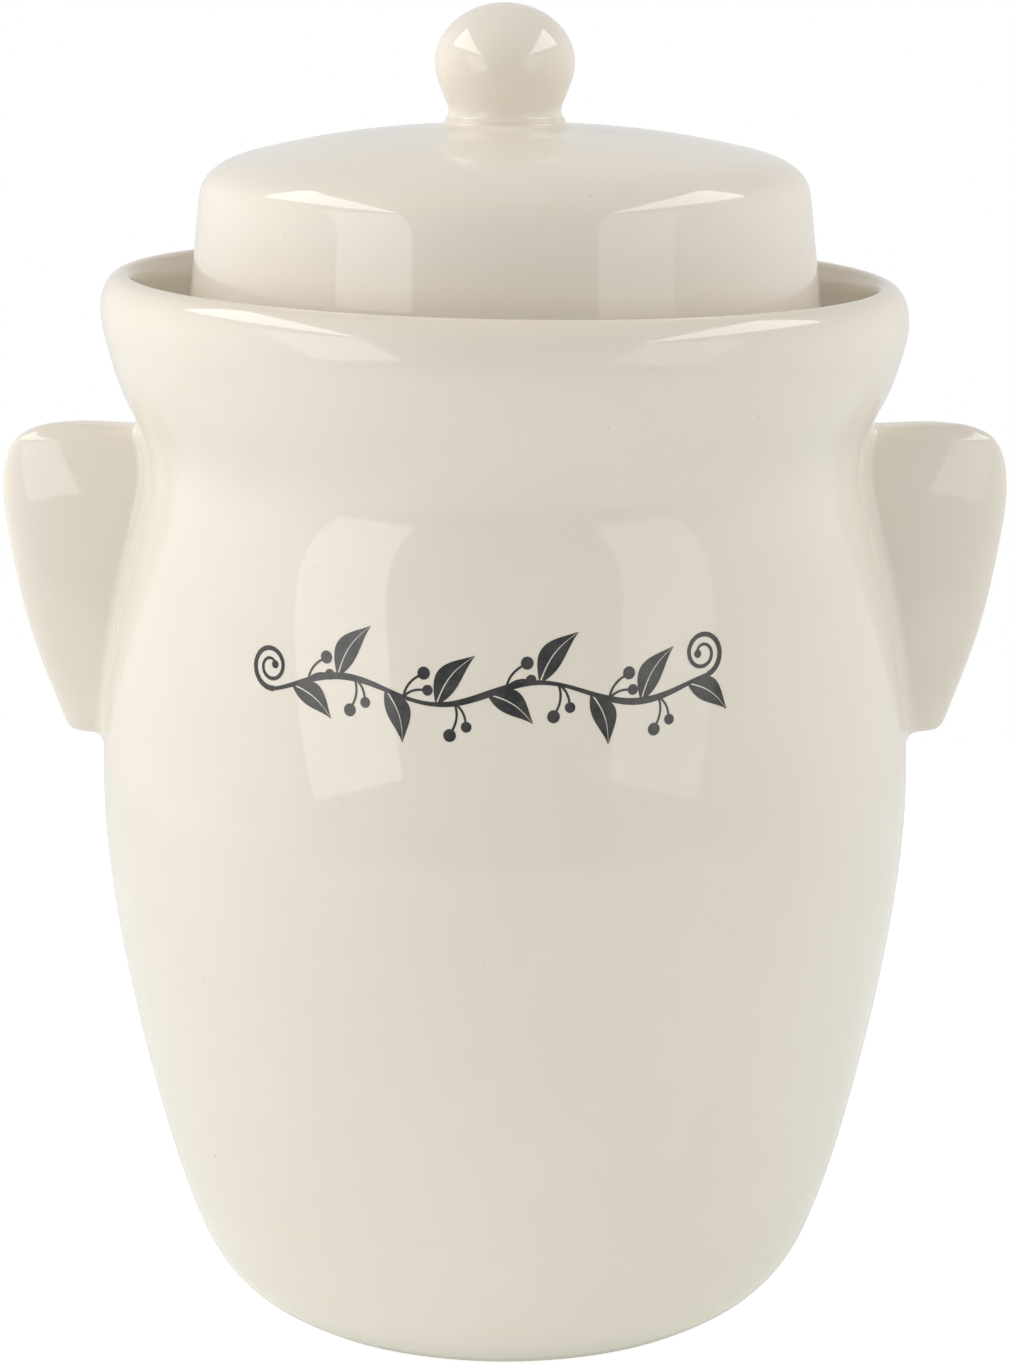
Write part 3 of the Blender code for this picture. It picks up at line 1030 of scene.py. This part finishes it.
def mix_glaze():
    material, tree, shader = new_material("cream_glaze", 0.05)
    tone = place_group(tree, cloud, Light=CREAM, Dark=DEEP_CREAM, Scale=16.0)
    thin = add_node(tree, "ShaderNodeAttribute", {"attribute_name": "glaze_thin"}).outputs["Fac"]
    bare = add_node(tree, "ShaderNodeAttribute", {"attribute_name": "glaze_bare"}).outputs["Fac"]
    iron = place_group(tree, speck, Scale=150.0, Share=0.016, Size=0.075)["Mask"]
    fleck = place_group(tree, speck, Scale=420.0, Share=0.03, Size=0.12)["Mask"]
    clay = place_group(tree, grain, Light=CLAY_LIGHT, Dark=CLAY_DARK, Scale=900.0)
    colour = blend(tree, maths(tree, "MULTIPLY", thin, 0.55), tone["Colour"], WARM_EDGE)
    colour = blend(tree, maths(tree, "MULTIPLY", fleck, 0.18), colour, IRON)
    colour = blend(tree, maths(tree, "MULTIPLY", iron, 0.85), colour, IRON)
    colour = blend(tree, bare, colour, clay["Colour"])
    tree.links.new(colour, shader.inputs["Base Color"])
    glassy = maths(tree, "ADD", maths(tree, "MULTIPLY", tone["Mask"], 0.02), 0.035)
    rough = maths(tree, "ADD", glassy, maths(tree, "MULTIPLY", bare, 0.75))
    tree.links.new(rough, shader.inputs["Roughness"])
    skin = place_group(tree, ripple, Scale=RIPPLE_SCALE)["Height"]
    dips = maths(tree, "MULTIPLY", iron, -0.5)
    sand = maths(tree, "MULTIPLY", bare, clay["Height"])
    height = maths(tree, "ADD", maths(tree, "ADD", skin, dips), sand)
    bump = add_node(tree, "ShaderNodeBump", None, Strength=1.0, Distance=RIPPLE_DEPTH, Height=height)
    tree.links.new(bump.outputs["Normal"], shader.inputs["Normal"])
    return material


glaze = mix_glaze()
glazed = [jar, neck, *lugs, lid, knob]
for piece in glazed:
    piece.data.materials.append(glaze)
print("cream glaze on", len(glazed), "pieces")

# %% [markdown]
# ## Bare stoneware
# The stones are never glazed, because brine and clay get on well without it. Fired bare, stoneware is matt
# and sandy, with iron specks that are larger and more frequent than under the glaze.

# %% Mix the bare stoneware
def mix_stoneware():
    material, tree, shader = new_material("bare_stoneware", 0.8)
    clay = place_group(tree, grain, Light=CLAY_LIGHT, Dark=CLAY_DARK, Scale=700.0)
    iron = place_group(tree, speck, Scale=260.0, Share=0.08, Size=0.16)["Mask"]
    tone = place_group(tree, cloud, Light=(1, 1, 1, 1), Dark=(0.86, 0.83, 0.80, 1), Scale=20.0)
    darken = {"data_type": "RGBA", "blend_type": "MULTIPLY"}
    mixed = add_node(tree, "ShaderNodeMix", darken, i0=1.0, i6=clay["Colour"], i7=tone["Colour"])
    colour = mixed.outputs[2]
    colour = blend(tree, maths(tree, "MULTIPLY", iron, 0.75), colour, IRON)
    tree.links.new(colour, shader.inputs["Base Color"])
    rough = maths(tree, "ADD", maths(tree, "MULTIPLY", clay["Height"], 0.15), 0.72)
    tree.links.new(rough, shader.inputs["Roughness"])
    relief = maths(tree, "ADD", clay["Height"], maths(tree, "MULTIPLY", iron, -0.4))
    bump = add_node(tree, "ShaderNodeBump", None, Strength=1.0, Distance=0.22 * MM, Height=relief)
    tree.links.new(bump.outputs["Normal"], shader.inputs["Normal"])
    return material


stoneware = mix_stoneware()
for piece in stones:
    piece.data.materials.append(stoneware)
print("bare stoneware on", len(stones), "pieces")

# %% [markdown]
# ## Iron ink
# The brushwork is iron oxide under the same clear glaze, so it's nearly black, not quite even, and as
# glossy as the wall round it.

# %% Mix the ink
def mix_ink():
    material, tree, shader = new_material("iron_ink", 0.08)
    black, grey = (0.030, 0.031, 0.034, 1), (0.062, 0.060, 0.058, 1)
    tone = place_group(tree, cloud, Light=black, Dark=grey, Scale=190.0)
    tree.links.new(tone["Colour"], shader.inputs["Base Color"])
    rough = maths(tree, "ADD", maths(tree, "MULTIPLY", tone["Mask"], 0.08), 0.06)
    tree.links.new(rough, shader.inputs["Roughness"])
    skin = place_group(tree, ripple, Scale=RIPPLE_SCALE)["Height"]
    bump = add_node(tree, "ShaderNodeBump", None, Strength=1.0, Distance=RIPPLE_DEPTH, Height=skin)
    tree.links.new(bump.outputs["Normal"], shader.inputs["Normal"])
    return material


sprig.data.materials.append(mix_ink())
print("iron ink on the sprig")

# %% [markdown]
# ## The room's light
# A glossy pot shows the room that it stands in. This room is a pale, soft box. Its light is different from
# the left, the right, the front, the back, below and above, and a direction between two of them gets a
# share of each: the squares of a direction's three parts always add up to one, so they are the shares. The
# camera itself sees plain white. Two tall windows of two panes each stand at the front left and the front
# right. They are glowing panels that light the pot and show in its glaze, but not to the camera, and their
# reflections are what makes the glaze look wet.

# %% Light the room
GLOW = {
    "left": 1.19,
    "right": 0.88,
    "front": 0.32,
    "back": 0.78,
    "top": 0.22,
    "bottom": 0.15,
    "table": 0.19,
    "window_left_low": 2.5,
    "window_left_high": 5.0,
    "window_right_low": 1.65,
    "window_right_high": 4.2,
}
WINDOW_LIGHT = (1, 0.985, 0.965)
world = bpy.data.worlds.new("studio")
bpy.context.scene.world = world
world.use_nodes = True
bpy.context.scene.view_settings.view_transform = "Standard"


def build_room():
    """Sets the world's strength from the squares of the direction's parts."""
    tree = world.node_tree
    direction = add_node(tree, "ShaderNodeTexCoord").outputs["Generated"]
    parts = add_node(tree, "ShaderNodeSeparateXYZ", None, Vector=direction).outputs
    total = 0.0
    for axis, minus, plus in (("X", "left", "right"), ("Y", "front", "back"), ("Z", "bottom", "top")):
        ahead = maths(tree, "GREATER_THAN", parts[axis], 0.0)
        gain = maths(tree, "MULTIPLY", ahead, GLOW[plus] - GLOW[minus])
        level = maths(tree, "ADD", gain, GLOW[minus])
        share = maths(tree, "MULTIPLY", parts[axis], parts[axis])
        total = maths(tree, "ADD", total, maths(tree, "MULTIPLY", share, level))
    seen = add_node(tree, "ShaderNodeLightPath").outputs["Is Camera Ray"]
    lit = maths(tree, "MULTIPLY", total, maths(tree, "SUBTRACT", 1.0, seen))
    background = tree.nodes["Background"]
    background.inputs["Color"].default_value = (1, 1, 1, 1)
    tree.links.new(maths(tree, "ADD", lit, seen), background.inputs["Strength"])


build_room()


def toward(azimuth, distance, height):
    """A point this far from the axis, at an angle from the front: minus is left."""
    a = math.radians(azimuth)
    return Vector((math.sin(a) * distance, -math.cos(a) * distance, height))


def glowing(name, colour, strength):
    """A material that only gives light."""
    material = bpy.data.materials.new(name)
    material.use_nodes = True
    nodes = material.node_tree.nodes
    nodes.remove(nodes["Principled BSDF"])
    emission = nodes.new("ShaderNodeEmission")
    emission.inputs["Color"].default_value = (*colour, 1)
    emission.inputs["Strength"].default_value = strength
    material.node_tree.links.new(emission.outputs[0], nodes["Material Output"].inputs["Surface"])
    return material


def panel(name, corners):
    """A soft panel that glows evenly, given its corners in order."""
    mesh = bpy.data.meshes.new(name)
    mesh.from_pydata([tuple(c) for c in corners], [], [(0, 1, 2, 3)])
    mesh.materials.append(glowing(name, WINDOW_LIGHT, GLOW[name]))
    obj = bpy.data.objects.new(name, mesh)
    bpy.context.scene.collection.objects.link(obj)
    obj.visible_camera = False
    obj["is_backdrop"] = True


# Each pane's distance, and the angle and height of its corners, in metres.
PANES = {
    "low": (0.75, [(26, 0.15), (50, 0.09), (69, 0.53), (38, 0.55)]),
    "high": (0.8, [(38, 0.6), (108, 0.68), (118, 1.2), (75, 1.1)]),
}
for side, sign in (("left", -1), ("right", 1)):
    for pane, (distance, corners) in PANES.items():
        panel(f"window_{side}_{pane}", [toward(angle * sign, distance, height) for angle, height in corners])
print("room light:", GLOW)

# %% [markdown]
# ## The table
# A round white table carries the pot. Its paper glows a little, for the light that a large white studio
# sends back up, and it glows more for the camera, so that the table's edge melts into the white behind it.

# %% Set the table
TABLE_RADIUS = 0.66
SEEN_GLOW = 0.6
builder = bmesh.new()
bmesh.ops.create_circle(builder, cap_ends=True, segments=256, radius=TABLE_RADIUS)
floor_mesh = bpy.data.meshes.new("floor")
builder.to_mesh(floor_mesh)
builder.free()
floor = bpy.data.objects.new("floor", floor_mesh)
paper, paper_tree, paper_shader = new_material("paper_white", 0.9)
paper_shader.inputs["Base Color"].default_value = (0.85, 0.88, 0.875, 1)
paper_shader.inputs["Emission Color"].default_value = (0.95, 1, 0.99, 1)
seen = add_node(paper_tree, "ShaderNodeLightPath").outputs["Is Camera Ray"]
glow = maths(paper_tree, "ADD", maths(paper_tree, "MULTIPLY", seen, SEEN_GLOW), GLOW["table"])
paper_tree.links.new(glow, paper_shader.inputs["Emission Strength"])
floor.data.materials.append(paper)
bpy.context.scene.collection.objects.link(floor)
floor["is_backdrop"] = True
print("table:", 2 * TABLE_RADIUS, "m across")

# %% [markdown]
# The fine pieces must stay close to the box of the engineering model. The last cell measures both boxes
# and prints them.

# %% Measure and print both boxes
visual_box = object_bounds()
for label, box in (("engineering", cad_box), ("fine", visual_box)):
    print(label, "box in mm:", [[round(v / MM, 1) for v in corner] for corner in box])
